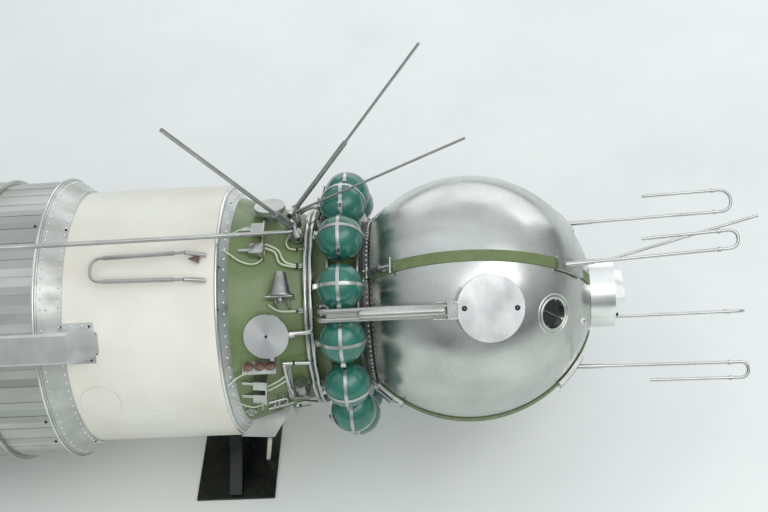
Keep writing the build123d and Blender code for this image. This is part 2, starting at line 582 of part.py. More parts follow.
for node, (boss, side, lean, length, diameter, sleeve_l, sleeve_d) in WHIPS.items():
    shape = Pos(0, 0, (TANG_L + length) / 2) * Cylinder(diameter / 2, length - TANG_L)
    shape += Pos(0, 0, TANG_L / 2 + 1) * Box(diameter * 0.7, EYE_W, TANG_L + 2)
    if sleeve_l:
        shape += Pos(0, 0, TANG_L + sleeve_l / 2) * Cylinder(sleeve_d / 2, sleeve_l)
    shape = Rot(0, lean, 0) * shape + Rot(90, 0, 0) * Cylinder(EYE_R, EYE_W)
    shape -= Rot(90, 0, 0) * Cylinder(PIN_R + PIN_GAP, 2 * EYE_W)
    keep(node, boss_places[boss] * Pos(0, side * eye_y, 0) * shape)
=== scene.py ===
import math

import bpy
from mathutils import Matrix, Vector


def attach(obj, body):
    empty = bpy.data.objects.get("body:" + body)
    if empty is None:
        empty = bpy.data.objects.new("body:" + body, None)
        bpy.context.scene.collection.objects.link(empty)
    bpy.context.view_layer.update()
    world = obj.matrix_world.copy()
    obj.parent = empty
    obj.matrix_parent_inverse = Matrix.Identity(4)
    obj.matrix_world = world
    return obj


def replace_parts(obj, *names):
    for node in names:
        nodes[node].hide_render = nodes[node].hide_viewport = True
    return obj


# Museum model of a crewed satellite spacecraft and its last rocket stage on two black stands.
# Metres in the scene; tables give millimetres and the angle around the long axis:
# 0 on the side with the porthole, 90 on top.
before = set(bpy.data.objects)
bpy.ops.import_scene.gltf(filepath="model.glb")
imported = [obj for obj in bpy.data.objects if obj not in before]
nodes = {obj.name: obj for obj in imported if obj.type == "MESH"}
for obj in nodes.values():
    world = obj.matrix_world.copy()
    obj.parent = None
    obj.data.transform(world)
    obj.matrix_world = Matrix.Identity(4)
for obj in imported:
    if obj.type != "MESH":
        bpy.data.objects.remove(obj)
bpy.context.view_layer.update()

# Camera
# Fitted to the outlines of stage, module and sphere in the picture.
# It looks down at 45 degrees from the side with the mast and the porthole, then turns by three small angles.
YAW, PITCH, ROLL = math.radians(4.33), math.radians(2.13), math.radians(2.68)
slope = math.sqrt(0.5)
right = Vector((1, 0, 0))
ahead = Vector((0, slope, -slope))
up = Vector((0, slope, slope))
yaw = Matrix.Rotation(YAW, 3, up)
right, ahead = yaw @ right, yaw @ ahead
pitch = Matrix.Rotation(PITCH, 3, right)
up, ahead = pitch @ up, pitch @ ahead
right, up = right * math.cos(ROLL) - up * math.sin(ROLL), up * math.cos(ROLL) + right * math.sin(ROLL)
camera_data = bpy.data.cameras.new("camera")
camera = bpy.data.objects.new("camera", camera_data)
bpy.context.scene.collection.objects.link(camera)
camera.matrix_world = Matrix((right, up, -ahead)).transposed().to_4x4()
camera.location = (0.45526, -1.65608, 1.98008)
camera_data.sensor_width = 36
camera_data.lens = 58.42
camera_data.clip_end = 50
bpy.context.scene.camera = camera

# Ribbed skins of the stage
# Satin sheet aluminium, folded into planks and fixed to the frames below with rivets.
# Each plank is from another sheet and was handled on its own, so each has its own tone and gloss.
AXIS_H = 324        # millimetres from the floor to the long axis
PLANKS = 50         # around each skin
SKINS_MEET = -0.42  # metres, the station where the wide skin ends and the narrow one begins
OTHER_SKIN = 97.0   # far enough along the random tones that the second skin repeats none of the first
MIDDLE = {"From Min": 0.35, "From Max": 0.65}  # part of its range in which a patchy value mostly stays
SHARE, FIRST, SECOND, MIXED = 0, 6, 7, 2       # sockets of a Mix node that is set to colours


def linear(code):
    """Linear colour of a six-digit screen colour."""
    values = [int(code[i:i + 2], 16) / 255 for i in (0, 2, 4)]
    return [v / 12.92 if v <= 0.04045 else ((v + 0.055) / 1.055) ** 2.4 for v in values] + [1]


def add(tree, kind, inputs=None, **settings):
    """New node with its settings, and its inputs set to values or linked to sockets."""
    node = tree.nodes.new(kind)
    for name, value in settings.items():
        setattr(node, name, value)
    for name, value in (inputs or {}).items():
        if isinstance(value, bpy.types.NodeSocket):
            tree.links.new(value, node.inputs[name])
        else:
            node.inputs[name].default_value = value
    return node


def blank(name):
    """New material with its tree, shader and object coordinates, in which every pattern has its real size."""
    material = bpy.data.materials.new(name)
    material.use_nodes = True
    tree = material.node_tree
    place = add(tree, "ShaderNodeTexCoord").outputs["Object"]
    return material, tree, tree.nodes["Principled BSDF"], place


def patchy(tree, place, size, detail=3.0, stretch=(1, 1, 1)):
    """Value that wanders between 0 and 1 in patches about this many metres wide, stretched per axis."""
    scaled = add(tree, "ShaderNodeMapping", {"Vector": place, "Scale": [1 / s for s in stretch]})
    field = add(tree, "ShaderNodeTexNoise", {"Vector": scaled.outputs[0], "Scale": 1 / size, "Detail": detail})
    return field.outputs[0]


def finish(material, *names):
    """Finish of carried-over parts."""
    for name in names:
        for place_slot in nodes[name].material_slots:
            place_slot.material = material


# Slatted sheet: the angle around the long axis counts the planks, and the two skins are counted apart.
# To the eye: narrow strips of slightly different greys, with longish stains.
slat_metal, tree, shader, place = blank("slatted_sheet_aluminium")
split = add(tree, "ShaderNodeSeparateXYZ", {"Vector": place})
lifted = add(tree, "ShaderNodeMath", {0: split.outputs["Z"], 1: AXIS_H / 1000}, operation="SUBTRACT")
angle = add(tree, "ShaderNodeMath", {0: lifted.outputs[0], 1: split.outputs["Y"]}, operation="ARCTAN2")
counted = add(tree, "ShaderNodeMath", {0: angle.outputs[0], 1: PLANKS / (2 * math.pi)}, operation="MULTIPLY")
plank = add(tree, "ShaderNodeMath", {0: counted.outputs[0]}, operation="FLOOR")
front = add(tree, "ShaderNodeMath", {0: split.outputs["X"], 1: SKINS_MEET}, operation="GREATER_THAN")
seeded = add(tree, "ShaderNodeMath", {0: front.outputs[0], 1: OTHER_SKIN, 2: plank.outputs[0]},
             operation="MULTIPLY_ADD")
tone = add(tree, "ShaderNodeTexWhiteNoise", {"W": seeded.outputs[0]}, noise_dimensions="1D")
shade = add(tree, "ShaderNodeMix", {SHARE: tone.outputs["Value"], FIRST: linear("a9aba8"),
                                    SECOND: linear("d0d1ce")}, data_type="RGBA")
stain = add(tree, "ShaderNodeMapRange", {"Value": patchy(tree, place, 0.05, 5, (3, 1, 1)), "From Min": 0.4,
                                         "From Max": 0.75, "To Max": 0.5})
stained = add(tree, "ShaderNodeMix", {SHARE: stain.outputs["Result"], FIRST: shade.outputs[MIXED],
                                      SECOND: linear("999b96")}, data_type="RGBA")
gloss = add(tree, "ShaderNodeMapRange", {"Value": tone.outputs["Value"], "To Min": 0.3, "To Max": 0.46})
tree.links.new(stained.outputs[MIXED], shader.inputs["Base Color"])
tree.links.new(gloss.outputs["Result"], shader.inputs["Roughness"])
shader.inputs["Metallic"].default_value = 1
finish(slat_metal, "aft_skirt", "ribbed_skin")

# Step ring, riveted rim and rear bulkhead
# Rolled sheet aluminium. The rim is a cone that holds the white section with two rows of domed rivets.
# Its rear edge is rolled over a wire, and in front of that bead a thin black wire paints the shade in the groove.
BODY = "spacecraft_and_stage"
RIVET = (2.3, 1.6)  # radius and height of a head
RIM_RIVETS = 88
# Stations and radii of the outer skin, from the skirt to the neck
SKIN = ((-754, 265), (-421, 265), (-420, 259.5), (-311, 259.5), (-310.9, 264.5), (-306, 264.5), (-305.9, 262),
        (-267, 237.5), (-266, 236), (0, 236), (18.5, 210), (145, 170), (175, 160.5))


def metal(name, code, dull, roughness, mottle=0.03, stretch=(1, 1, 1), grain=0.0):
    """Bare metal with stains, uneven polish and brushing along the stretched axis.

    The brushing is drawn 0.8 mm wide, coarser than the real tenth of a millimetre, which no render would show.
    """
    material, tree, shader, place = blank(name)
    stain = add(tree, "ShaderNodeMapRange", {"Value": patchy(tree, place, mottle, 4), "From Min": 0.4,
                                             "From Max": 0.7})
    stained = add(tree, "ShaderNodeMix", {SHARE: stain.outputs["Result"], FIRST: linear(code), SECOND: linear(dull)},
                  data_type="RGBA")
    polish = add(tree, "ShaderNodeMapRange", {"Value": patchy(tree, place, mottle * 0.7, 3, stretch), **MIDDLE,
                                              "To Min": roughness * 0.75, "To Max": roughness * 1.3})
    tree.links.new(stained.outputs[MIXED], shader.inputs["Base Color"])
    tree.links.new(polish.outputs["Result"], shader.inputs["Roughness"])
    shader.inputs["Metallic"].default_value = 1
    if grain:
        lines = patchy(tree, place, 0.0008, 2, stretch)
        height = add(tree, "ShaderNodeBump", {"Height": lines, "Strength": grain, "Distance": 0.0002})
        tree.links.new(height.outputs[0], shader.inputs["Normal"])
    return material


def paint(name, code, dirt, roughness, coat=0.0, mottle=0.05, bumps=0.0):
    """Sprayed or brushed paint with faint dirt, and with orange peel 1.6 mm across where it has bumps."""
    material, tree, shader, place = blank(name)
    grime = add(tree, "ShaderNodeMapRange", {"Value": patchy(tree, place, mottle, 5), "From Min": 0.42,
                                             "From Max": 0.75})
    grimy = add(tree, "ShaderNodeMix", {SHARE: grime.outputs["Result"], FIRST: linear(code), SECOND: linear(dirt)},
                data_type="RGBA")
    gloss = add(tree, "ShaderNodeMapRange", {"Value": patchy(tree, place, mottle / 3), **MIDDLE,
                                             "To Min": roughness * 0.85, "To Max": roughness * 1.2})
    tree.links.new(grimy.outputs[MIXED], shader.inputs["Base Color"])
    tree.links.new(gloss.outputs["Result"], shader.inputs["Roughness"])
    shader.inputs["Coat Weight"].default_value = coat
    shader.inputs["Coat Roughness"].default_value = 0.12
    if bumps:
        height = add(tree, "ShaderNodeBump", {"Height": patchy(tree, place, 0.0016, 2), "Strength": bumps,
                                              "Distance": 0.0002})
        tree.links.new(height.outputs[0], shader.inputs["Normal"])
    return material


def skin_radius(x):
    """Radius of the outer skin at a station."""
    for (x0, r0), (x1, r1) in zip(SKIN, SKIN[1:]):
        if x0 <= x <= x1:
            return r0 + (r1 - r0) * (x - x0) / (x1 - x0)
    return SKIN[-1][1]


def outward(around):
    """Direction away from the long axis."""
    return Vector((0, -math.cos(math.radians(around)), math.sin(math.radians(around))))


def at(x, around, radius):
    """Point at a station, an angle around and a radius."""
    return (Vector((x, 0, AXIS_H)) + outward(around) * radius) / 1000


def on_skin(x, around, rise=0.0):
    """Point above the outer skin."""
    return at(x, around, skin_radius(x) + rise)


def upright(places, rise=0.0):
    """Points above the skin, each with its direction outwards, from stations and angles around."""
    return [(on_skin(x, a, rise), outward(a)) for x, a in places]


def show(name, mesh, material, body=BODY, smooth=35):
    """Finished piece that rides on a body and takes its finish from a slot."""
    mesh.materials.clear()
    mesh.materials.append(material)
    for polygon in mesh.polygons:
        polygon.use_smooth = True
    mesh.set_sharp_from_angle(angle=math.radians(smooth))
    piece = bpy.data.objects.new(name, mesh)
    bpy.context.scene.collection.objects.link(piece)
    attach(piece, body)
    return piece


def new_tree(name, sockets):
    """Geometry tree with named inputs; returns the tree, its input node and its output node."""
    tree = bpy.data.node_groups.new(name, "GeometryNodeTree")
    tree.interface.new_socket("Geometry", in_out="INPUT", socket_type="NodeSocketGeometry")
    for label, kind in sockets:
        tree.interface.new_socket(label, in_out="INPUT", socket_type=kind)
    tree.interface.new_socket("Geometry", in_out="OUTPUT", socket_type="NodeSocketGeometry")
    return tree, tree.nodes.new("NodeGroupInput"), tree.nodes.new("NodeGroupOutput")


def head_instances(tree, source, points, direction, fineness):
    """Domed heads on points, square to a direction, realized and with their material."""
    head = add(tree, "GeometryNodeMeshIcoSphere", {"Radius": 1.0, "Subdivisions": fineness})
    turn = add(tree, "FunctionNodeAlignRotationToVector", {"Vector": direction}, axis="Z")
    size = add(tree, "ShaderNodeCombineXYZ", {"X": source.outputs["Head radius"], "Y": source.outputs["Head radius"],
                                              "Z": source.outputs["Head height"]})
    spread = add(tree, "GeometryNodeInstanceOnPoints", {"Points": points, "Instance": head.outputs["Mesh"],
                                                        "Rotation": turn.outputs[0], "Scale": size.outputs[0]})
    real = add(tree, "GeometryNodeRealizeInstances", {"Geometry": spread.outputs[0]})
    painted = add(tree, "GeometryNodeSetMaterial", {"Geometry": real.outputs[0],
                                                    "Material": source.outputs["Material"]})
    return painted.outputs[0]


def grown(name, base, tree, values):
    """Plain mesh that a node tree makes from a base mesh, with the tree's named inputs set."""
    holder = bpy.data.objects.new(name, base)
    bpy.context.scene.collection.objects.link(holder)
    modifier = holder.modifiers.new("grow", "NODES")
    modifier.node_group = tree
    for socket in tree.interface.items_tree:
        if socket.in_out == "INPUT" and socket.name in values:
            modifier[socket.identifier] = values[socket.name]
    bpy.context.view_layer.update()
    evaluated = holder.evaluated_get(bpy.context.evaluated_depsgraph_get())
    mesh = bpy.data.meshes.new_from_object(evaluated)
    holder.modifiers.remove(modifier)
    bpy.data.objects.remove(holder)
    mesh.name = name
    return mesh


def ring_of_heads(name, count, x, radius, start, size, material):
    """Ring of rivets; size is a head's radius and height in millimetres, start in degrees around."""
    values = {"Count": count, "Station": x / 1000, "Ring radius": radius / 1000, "Axis height": AXIS_H / 1000,
              "Start": math.radians(180 - start), "Head radius": size[0] / 1000, "Head height": size[1] / 1000,
              "Material": material}
    show(name, grown(name, bpy.data.meshes.new(name), ring_tree, values), material, smooth=60)


def heads_at(name, spots, size, material, body=BODY):
    """Heads at points, each with its own direction."""
    base = bpy.data.meshes.new(name)
    base.from_pydata([spot for spot, away in spots], [], [])
    attribute = base.attributes.new("away", "FLOAT_VECTOR", "POINT")
    for i, (spot, away) in enumerate(spots):
        attribute.data[i].vector = away
    values = {"Head radius": size[0] / 1000, "Head height": size[1] / 1000, "Material": material}
    show(name, grown(name, base, spot_tree, values), material, body, smooth=60)


def pipes(name, runs, diameter, material):
    """Rigid round pipes along smooth lines, diameter in millimetres."""
    curve = bpy.data.curves.new(name, "CURVE")
    curve.dimensions = "3D"
    curve.bevel_depth = diameter / 2000
    curve.bevel_resolution = 3
    curve.use_fill_caps = True
    for points in runs:
        spline = curve.splines.new("NURBS")
        spline.points.add(len(points) - 1)
        for target, point in zip(spline.points, points):
            target.co = (*point, 1)
        spline.order_u = min(3, len(points))
        spline.use_endpoint_u = True
        spline.resolution_u = 8
    curve.materials.append(material)
    piece = bpy.data.objects.new(name, curve)
    bpy.context.scene.collection.objects.link(piece)
    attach(piece, BODY)
    return piece


def hoop(name, x, radius, diameter, material, step=4):
    """Round wire in a ring around the long axis, with a point every few degrees."""
    pipes(name, ([at(x, step * i, radius) for i in range(360 // step + 1)],), diameter, material)


# Heads in a ring around the long axis. There are hundreds, so each has 80 faces.
ring_tree, source, sink = new_tree("heads_in_a_ring", (
    ("Count", "NodeSocketInt"), ("Station", "NodeSocketFloat"), ("Ring radius", "NodeSocketFloat"),
    ("Axis height", "NodeSocketFloat"), ("Start", "NodeSocketFloat"), ("Head radius", "NodeSocketFloat"),
    ("Head height", "NodeSocketFloat"), ("Material", "NodeSocketMaterial")))
count = source.outputs["Count"]
number = add(ring_tree, "GeometryNodeInputIndex")
share = add(ring_tree, "ShaderNodeMath", {0: number.outputs[0], 1: count}, operation="DIVIDE")
full = add(ring_tree, "ShaderNodeMath", {0: share.outputs[0], 1: 2 * math.pi, 2: source.outputs["Start"]},
           operation="MULTIPLY_ADD")
sine = add(ring_tree, "ShaderNodeMath", {0: full.outputs[0]}, operation="SINE")
cosine = add(ring_tree, "ShaderNodeMath", {0: full.outputs[0]}, operation="COSINE")
away = add(ring_tree, "ShaderNodeCombineXYZ", {"X": 0.0, "Y": cosine.outputs[0], "Z": sine.outputs[0]})
reach = add(ring_tree, "ShaderNodeVectorMath", {0: away.outputs[0], "Scale": source.outputs["Ring radius"]},
            operation="SCALE")
centre = add(ring_tree, "ShaderNodeCombineXYZ", {"X": source.outputs["Station"], "Y": 0.0,
                                                 "Z": source.outputs["Axis height"]})
spot = add(ring_tree, "ShaderNodeVectorMath", {0: centre.outputs[0], 1: reach.outputs[0]}, operation="ADD")
dots = add(ring_tree, "GeometryNodePoints", {"Count": count, "Position": spot.outputs[0]})
kept_way = add(ring_tree, "GeometryNodeCaptureAttribute", {"Geometry": dots.outputs[0]})
kept_way.capture_items.new("VECTOR", "Away")
ring_tree.links.new(away.outputs[0], kept_way.inputs["Away"])
ring_tree.links.new(head_instances(ring_tree, source, kept_way.outputs["Geometry"], kept_way.outputs["Away"], 2),
                    sink.inputs[0])

# Heads on marked points, each square to the direction that is kept with its point.
spot_tree, source, sink = new_tree("heads_on_points", (
    ("Head radius", "NodeSocketFloat"), ("Head height", "NodeSocketFloat"), ("Material", "NodeSocketMaterial")))
way = add(spot_tree, "GeometryNodeInputNamedAttribute", {"Name": "away"}, data_type="FLOAT_VECTOR")
spot_tree.links.new(head_instances(spot_tree, source, source.outputs["Geometry"], way.outputs["Attribute"], 3),
                    sink.inputs[0])

# Rolled sheet: satin, with reflections drawn out along the rolling.
sheet_metal = metal("satin_sheet_aluminium", "c6c8c5", "b0b2ae", 0.4, 0.05, (12, 1, 1), 0.12)
# Polished aluminium: nearly white, with sharp bright streaks.
bright_metal = metal("polished_aluminium", "f0f2f0", "dcdedb", 0.22, 0.05, (1, 1, 6), 0.05)
# Machined aluminium: pale and a little cloudy, with soft highlights.
cast_metal = metal("machined_aluminium", "cacbc8", "b2b4b0", 0.33, 0.02, (1, 1, 1), 0.03)
# Blackened steel: screws and joints read as black dots with a dull gleam. The same black also paints shade
# in the grooves, the bush bores, the fitting's hole and the gap behind the seat ring.
black_steel_and_shade = paint("blackened_steel_and_painted_shade", "0c0c0c", "191817", 0.4, 0.0, 0.01)
finish(sheet_metal, "step_ring", "stage_rim", "rear_bulkhead")
ring_of_heads("rim_rivets_rear", RIM_RIVETS, -298, 257, 3.3, RIVET, bright_metal)
ring_of_heads("rim_rivets_front", RIM_RIVETS, -271.5, 240.3, 0.1, RIVET, bright_metal)
heads_at("rim_extra_rivet", upright([(-289.4, 48.3)]), (2.6, 1.6), bright_metal)
ring_of_heads("step_ring_rivets", 100, -417.5, 266.3, 1, (1.4, 0.7), cast_metal)
hoop("rim_bead", -308.6, 262.6, 4.8, bright_metal)
# Thin black wire in the groove in front of the bead: painted shade.
hoop("rim_groove_shade", -303.4, 260.3, 0.8, black_steel_and_shade, 5)

# White section with its access cover
# Sheet aluminium under eggshell enamel. The round cover lies in it, with a raised edge and eight painted screws.
# Six black screws hold the skins in front of and behind it.
COVER_X, COVER_AROUND = -221, 4.2
COVER_EDGE_R, COVER_SCREWS_R, COVER_RISE = 36.2, 31, 1.1
WHITE_R = 236       # radius of the section


def on_cover(turn, reach):
    """Station and angle around of a point some degrees round the cover and some millimetres from its middle."""
    turn = math.radians(turn)
    return COVER_X + reach * math.cos(turn), COVER_AROUND + math.degrees(reach * math.sin(turn) / WHITE_R)


# White enamel: warm and eggshell, with wide yellowed blotches that are only just there.
white_paint = paint("white_enamel", "dddcd4", "cfccbf", 0.42, 0.1, 0.16)
finish(white_paint, "white_section", "access_cover")
pipes("cover_edge", ([on_skin(*on_cover(10 * i, COVER_EDGE_R), COVER_RISE) for i in range(37)],), 1.5, white_paint)
heads_at("cover_screws", upright([on_cover(20 + 45 * i, COVER_SCREWS_R) for i in range(8)], COVER_RISE), (1.7, 1),
         white_paint)
heads_at("black_screws", upright(((-320.5, 83.9), (-271.2, 85.1), (-320.7, -0.1), (-322, -14.4), (-271.5, -30.5),
                                  (-270.2, 41))), (2.6, 1.8), black_steel_and_shade)

# Duct cover along the stage
# Pressed sheet aluminium whose front flange lies on the riveted rim and is held by two bright rivets.
DUCT_SCREWS_R = 237.8
# Pressed sheet: paler than the rolled one, almost white where the light falls on it.
duct_metal = metal("pressed_sheet_aluminium", "e0e2e0", "c8cac7", 0.42, 0.06, (10, 1, 1), 0.1)
finish(duct_metal, "stage_duct")
heads_at("duct_rivets", [(at(x, a, DUCT_SCREWS_R), outward(a)) for x, a in ((-252.4, 41.2), (-232.5, 41.1))],
         (2.2, 1.5), bright_metal)

# Hairpin aerial on the white section
# One bent steel tube whose two legs end in sleeved feet on the skin. A moulded wedge lies beside the upper foot.


def joined(name, shapes):
    """One mesh from several lists of corners and faces."""
    points, faces = [], []
    for shape_points, shape_faces in shapes:
        faces += [tuple(i + len(points) for i in face) for face in shape_faces]
        points += shape_points
    mesh = bpy.data.meshes.new(name)
    mesh.from_pydata(points, [], faces)
    return mesh


def three_sided(base, top):
    """Corners and faces of a plate with three sides, from its corners below and above."""
    return base + top, [(2, 1, 0), (3, 4, 5), (0, 1, 4, 3), (1, 2, 5, 4), (2, 0, 3, 5)]


# Satin steel tube: grey rods with one soft line of light.
whip_metal = metal("satin_steel_tube", "b9bab7", "a3a5a1", 0.4, 0.05)
# Moulded resin: glossy and red-brown, with a small clear highlight.
brown_resin = paint("red_brown_resin", "64463a", "4a2f25", 0.26, 0.6, 0.01)
finish(whip_metal, "hairpin_aerial")
wedge = [[on_skin(x, a, rise) for x, a in ((-44, 67), (-26, 65), (-23, 68.6))] for rise in (3, 8)]
show("hairpin_wedge", joined("hairpin_wedge", [three_sided(*wedge)]), brown_resin)

# Nozzles at the rear
# Spun steel bells that come through the bulkhead, a wide one in the middle and four narrow ones around it.
# Heat-toned steel: brownish grey with darker blotches.
nozzle_metal = metal("heat_toned_steel", "857f78", "5c5148", 0.4, 0.03, (1, 1, 1), 0.1)
finish(nozzle_metal, "main_nozzle", "steering_nozzles")

# Stands
# Lacquered boards: a base plate, an upright and a saddle that fits the stage. A short white peg stands on the
# base plate of the front one.
PEG = (0.015, -0.107, 0.005), (0.027, -0.107, 0.064)


def frustum(start, end, r0, r1=None, sides=20):
    """Corners and faces of a round bar or cone between two points, radii in millimetres."""
    r0, r1 = r0 / 1000, (r0 if r1 is None else r1) / 1000
    z = (end - start).normalized()
    x = z.orthogonal().normalized()
    y = z.cross(x)
    points = []
    for centre, r in ((start, r0), (end, r1)):
        for i in range(sides):
            a = 2 * math.pi * i / sides
            points.append(centre + (x * math.cos(a) + y * math.sin(a)) * r)
    faces = [(i, (i + 1) % sides, sides + (i + 1) % sides, sides + i) for i in range(sides)]
    faces += [tuple(reversed(range(sides))), tuple(range(sides, 2 * sides))]
    return points, faces


# Black lacquer: deep black with a faint dusty sheen.
black_lacquer = paint("black_lacquer", "060707", "0d0f0e", 0.28, 0.1, 0.06)
finish(black_lacquer, "front_stand", "rear_stand")
show("stand_peg", joined("stand_peg", [frustum(*map(Vector, PEG), 4.5)]), white_paint)

# Instrument module: ring, cone and neck
# Sheet aluminium; the cone is enamelled. The ring is riveted to the cone, and its edge is rolled like the rim's.
# Olive enamel: semi-gloss with faint orange peel, so its highlights are soft.
olive_paint = paint("olive_enamel", "65784b", "596b42", 0.38, 0.25, 0.05, 0.1)
finish(olive_paint, "instrument_cone", "bottle_neck")
finish(duct_metal, "module_ring")
ring_of_heads("module_rivets", 70, 13, 218.2, 2, (2.2, 1.6), bright_metal)
hoop("module_bead", 2.2, 232.2, 4.6, bright_metal)
# Thin black wire in the groove in front of the ring's bead: painted shade.
hoop("module_groove_shade", 5.4, 228.8, 0.7, black_steel_and_shade, 5)

# Black screws of duct cover and module ring
# Slotted steel screws: four at the duct flange's front corner, three in the module's ring.
dark = [(at(x, a, DUCT_SCREWS_R), outward(a)) for x, a in ((-219.1, 40.7), (-209.5, 37.5), (-210.1, 29),
                                                           (-220.8, 26.2))]
dark += upright(((11.3, 106.4), (6.4, 64.1), (4.7, 45.1)))
heads_at("dark_rivets", dark, (2.1, 1.2), black_steel_and_shade)

# Pipes and cables on the module's cone
# Thin steel pipes and sleeved cables, all fixed at both ends. Rises are above the cone's skin.
# Most end in a black joint and go on thinner to the pipe ring, which is held by machined clips.


def spots(rise, *places):
    """Points on the skin from (station, around) pairs, or with a rise of their own."""
    return [on_skin(place[0], place[1], place[2] if len(place) > 2 else rise) for place in places]


# Drawn steel tube: a sharp line of light along each pipe.
tube_metal = metal("drawn_steel_tube", "c6c7c4", "b6b8b4", 0.24, 0.05)
# Plastic sleeving: pale green and milky, with hardly a highlight.
sleeving = paint("pale_green_sleeving", "bcc3ad", "a9b198", 0.4, 0.15, 0.01)
finish(tube_metal, "pipe_ring")
finish(cast_metal, "pipe_clips")
pipes("valve_hoses", (
    spots(6, (80, 79.8), (94, 78.9), (105, 76.7), (110, 72), (118, 69.4), (135, 68.8)),
    spots(6, (80, 77.4), (92, 76.8), (100, 75), (103, 70.4), (111, 68.1), (135, 67.6))), 4.2, sleeving)
pipes("bell_hose", (spots(6, (88, 46.4, 9), (92, 45.4), (99, 43.6), (111, 42.4), (134, 42.5)),), 4.6, sleeving)
pipes("whip_feed", (spots(5, (120, 90.4, 2), (116, 85.8), (115, 82.4), (120, 79.5), (125, 79.2), (134, 79.4)),), 3.4,
      sleeving)
pipes("stub_pipes", [spots(6, (134, a), (142, a + 0.2, 8), (151, a + 0.4, 11))
                     for a in (79.3, 69.2, 68.2, 67.2, 43.2, 42.3, 41.4)], 2.4, tube_metal)
pipes("ring_cable", (spots(5, (10, 73.2, 1), (21, 72.1), (36, 68.9), (53, 67.4), (66, 67.8), (75, 70), (79, 72.8),
                           (79, 76)),
                     spots(5, (20, 84, 1), (36, 87.6), (54, 90.7), (65, 91.5), (76, 90.1)),
                     spots(6, (6, 8.8, 1), (17, 9.9, 4), (32, 12), (44, 12.6, 9)),
                     spots(7, (7, 2.6, 1), (19, -6.1), (32, -10.9), (45, -13.8), (63, -11.8))), 3.2, sleeving)
pipes("disc_arm", (spots(12, (112, 30.8), (135, 30.5), (150, 30.3, 15), (158, 30.8, 17), (160, 33, 17)),), 8,
      tube_metal)
pipes("tee_arm", (spots(12, (103, 14.4), (121, 13.4), (132, 12.7, 13), (151, 11.9, 16)),
                  spots(12, (105, 14.2), (106, 7, 11), (108, -2, 10), (110, -12, 6))), 7.4, tube_metal)
pipes("tee_wires", [spots(13, (104 + 2.4 * i, 13.4, 14), (105 + 2 * i, 3, 14), (104 + 1.6 * i, -13 - 0.4 * i, 9))
                    for i in range(6)], 1.6, cast_metal)
pipes("box_pipes", (spots(9, (70, 1.4), (95, 3.1), (106, 6.4, 11)), spots(9, (70, -1.6), (96, 0.4), (106, 3, 11))), 3.4,
      sleeving)
pipes("lower_bars", (spots(8, (66, -12.5), (97, -13.5)), spots(5, (60, -22, 3), (84, -23), (104, -24.5, 3)),
                     spots(7, (112, -25.3), (129, -23.2, 12), (144, -30.5, 12), (150, -40.6, 12))), 5, tube_metal)
pipes("boss_tube", ([at(x, 108, radius) for x, radius in ((128, 186), (133, 191), (146, 198), (158, 202.7),
                                                          (166.3, 201.5), (170.5, 195), (170.5, 187), (163, 180))],),
      8.5, tube_metal)
black = [frustum(on_skin(x, a, 6), on_skin(x + 3.5, a, 6), radius)
         for a, x, radius in ((79.4, 133, 3.2), (68.3, 134, 5.4), (42.4, 133, 3.2))]
black.append(frustum(on_skin(120, 13.4, 12), on_skin(123, 13.3, 12), 4.6))
show("pipe_joints", joined("pipe_joints", black), black_steel_and_shade)

# Fittings of the cone: valve box, connector boxes, bell sensor, round can and fin
# Machined and spun metal, screwed to the enamelled cone. The small ones are a hose end, knobs on the lower bar,
# the flange plate that carries the bell sensor on two legs, two catches and two thin plates by the fin.
AHEAD = Vector((1, 0, 0))
BELL_AROUND = 56


def slab(centre, along, out, size):
    """Corners and faces of a box: size along a direction, across it, and outwards, in millimetres."""
    across = out.cross(along).normalized()
    axes = [axis * s / 2000 for axis, s in zip((along.normalized(), across, out), size)]
    points = [centre + axes[0] * i + axes[1] * j + axes[2] * k for i in (-1, 1) for j in (-1, 1) for k in (-1, 1)]
    return points, [(0, 1, 3, 2), (4, 6, 7, 5), (0, 4, 5, 1), (2, 3, 7, 6), (0, 2, 6, 4), (1, 5, 7, 3)]


# Spun steel: mid grey with lines around from the lathe.
spun_steel = metal("spun_steel", "a8a9a7", "8b8c89", 0.3, 0.02, (1, 1, 10), 0.15)
finish(cast_metal, "valve_box", "connector_boxes")
finish(spun_steel, "bell_sensor", "side_can")
finish(sheet_metal, "sheet_fin")
ends = [frustum(on_skin(118, 29.8, 12), on_skin(128, 29.8, 12), 5)]
for x, a, rise, radius in ((51, -17.5, 7, 4.5), (73, -18.6, 9, 5), (81, -18.7, 9, 4.5), (95, -19.7, 8, 5),
                           (84, -14.5, 11, 3.5), (97, -13.4, 10, 4)):
    ends.append(frustum(on_skin(x, a, 0), on_skin(x, a, rise), radius, radius * 0.7))
for x, a, radius, rise in ((31, -17.8, 11, 4), (31, -17.8, 5, 10), (103, -42.7, 8, 5)):
    ends.append(frustum(on_skin(x, a, 0), on_skin(x, a, rise), radius))
ends.append(frustum(on_skin(103, -42.7, 5), on_skin(103, -42.7, 20), 8, 2.5))
down = -outward(BELL_AROUND + 90)
bell_foot = on_skin(111, BELL_AROUND, 28) + down * 0.0245
ends.append(slab(bell_foot, AHEAD, down, (47, 34, 2)))
ends.append(frustum(bell_foot, bell_foot + down * 0.006, 5))
for shift in (-11, 11):
    leg = bell_foot + AHEAD * shift / 1000 - outward(BELL_AROUND) * 0.012
    ends.append(frustum(leg, on_skin(111 + shift, 43.4), 2.2, sides=12))
for x, a in ((41, 15.4), (89, 19.6)):
    ends.append(slab(on_skin(x, a, 20), AHEAD, outward(a), (7, 6, 6)))
show("cone_fittings", joined("cone_fittings", ends), cast_metal)
sheets = []
for corners in (((103, -31.7, 9), (128, -43, 9), (131, -37.3, 11)), ((60, -33, 8), (70, -44, 8), (84, -36, 10))):
    sheets.append(three_sided(spots(0, *corners), [on_skin(x, a, rise + 1.2) for x, a, rise in corners]))
